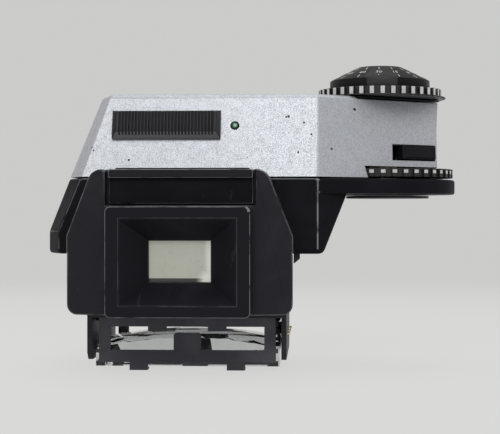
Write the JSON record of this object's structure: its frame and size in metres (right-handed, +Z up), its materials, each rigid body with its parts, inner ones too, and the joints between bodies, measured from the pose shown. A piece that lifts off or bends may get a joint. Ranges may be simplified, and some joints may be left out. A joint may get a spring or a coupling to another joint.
{
  "type": "metered prism finder",
  "caption": "Interchangeable pentaprism viewfinder for a 35 mm reflex camera, with a light meter arm, dome dial, knurled rings and a condenser lens below.",
  "frame": {"origin": "centre of the condenser glass's flat lower face, on the finder's optical axis", "axes": "+Z up along the optical axis, -Y towards the photographer's eye, +X towards the meter arm"},
  "size_m": [0.0877, 0.0594, 0.066],
  "materials": {
    "black_plastic": "satin black, bright wear along raised edges",
    "black_sheet": "black enamelled sheet and casting",
    "knurled_metal": "black grooves with turned bright teeth",
    "silver_paint": "fine speckled silver paint with a few dark chips",
    "condenser_glass": "clear optical glass",
    "brass": "plain brass",
    "steel": "bright steel",
    "board": "brown laminate board",
    "green_lens": "green translucent plastic"
  },
  "bodies": {
    "root": {"contact_block": "black_plastic", "lower_housing": "black_plastic", "arm_under_plate": "black_plastic", "rear_cover": "black_plastic", "eyepiece_frame": "black_plastic", "eyepiece_tunnel": "black_plastic", "lens_cell": "black_plastic", "upper_panel": "black_plastic", "panel_back": "black_plastic", "battery_holder": "black_plastic", "indicator_bezel": "black_plastic", "front_plate": "black_plastic", "condenser_frame_rear": "black_sheet", "condenser_frame_front": "black_sheet", "mount_collar": "black_sheet", "prism_shelf": "black_sheet", "top_cover": "silver_paint", "dial_seat_plate": "silver_paint", "condenser_lens": "condenser_glass", "pentaprism": "condenser_glass", "eyepiece_lens": "condenser_glass", "eyepiece_pane": "condenser_glass", "arm_bush": "brass", "cover_bush": "brass", "photocell_left": "brass", "photocell_right": "brass", "battery_contact": "brass", "switch_contact": "brass", "collar_screw_1": "steel", "collar_screw_2": "steel", "collar_screw_3": "steel", "collar_screw_4": "steel", "prism_strap": "steel", "battery": "steel", "meter_movement": "steel", "resistor_disc": "board", "circuit_board": "board", "indicator_lens": "green_lens"},
    "dial": {"dome_dial": "black_plastic", "dial_shaft": "steel", "wiper_arm": "brass"},
    "ring": {"knurled_ring": "knurled_metal"},
    "wheel": {"scale_wheel": "knurled_metal"},
    "switch": {"meter_switch": "black_plastic"},
    "battery_lid": {"battery_cover": "black_plastic"},
    "catch": {"lock_catch": "black_sheet"},
    "pin_1": {"contact_pin_1": "brass"},
    "pin_2": {"contact_pin_2": "brass"},
    "pin_3": {"contact_pin_3": "brass"},
    "needle": {"meter_needle": "steel"}
  },
  "joints": [
    {"name": "dial_turn", "type": "hinge", "parent": "root", "child": "dial", "pos_m": [0.0417, 0.002, 0.0606], "axis": [0, 0, 1], "range_deg": [-150, 150]},
    {"name": "ring_turn", "type": "hinge", "parent": "root", "child": "ring", "pos_m": [0.0417, 0.002, 0.0592], "axis": [0, 0, 1], "range_deg": [-60, 60]},
    {"name": "wheel_turn", "type": "hinge", "parent": "root", "child": "wheel", "pos_m": [0.0417, 0.002, 0.0414], "axis": [0, 0, 1], "range_deg": [-120, 120]},
    {"name": "switch_slide", "type": "slide", "parent": "root", "child": "switch", "axis": [-0.809, -0.5878, 0], "range_m": [0, 0.002]},
    {"name": "lid_slide", "type": "slide", "parent": "root", "child": "battery_lid", "axis": [-1, 0, 0], "range_m": [0, 0.0035]},
    {"name": "catch_slide", "type": "slide", "parent": "root", "child": "catch", "axis": [-1, 0, 0], "range_m": [0, 0.0006], "stiffness_N_per_m": 300, "springref_m": -0.0003},
    {"name": "needle_swing", "type": "hinge", "parent": "root", "child": "needle", "pos_m": [0.021, 0.008, 0.047], "axis": [0, 0, 1], "range_deg": [-20, 20], "stiffness_Nm_per_rad": 0.00001},
    {"name": "pin_1_push", "type": "slide", "parent": "root", "child": "pin_1", "axis": [-1, 0, 0], "range_m": [0, 0.0005], "stiffness_N_per_m": 200, "springref_m": -0.0004},
    {"name": "pin_2_push", "type": "slide", "parent": "root", "child": "pin_2", "axis": [-1, 0, 0], "range_m": [0, 0.0005], "stiffness_N_per_m": 200, "springref_m": -0.0004},
    {"name": "pin_3_push", "type": "slide", "parent": "root", "child": "pin_3", "axis": [-1, 0, 0], "range_m": [0, 0.0005], "stiffness_N_per_m": 200, "springref_m": -0.0004}
  ]
}
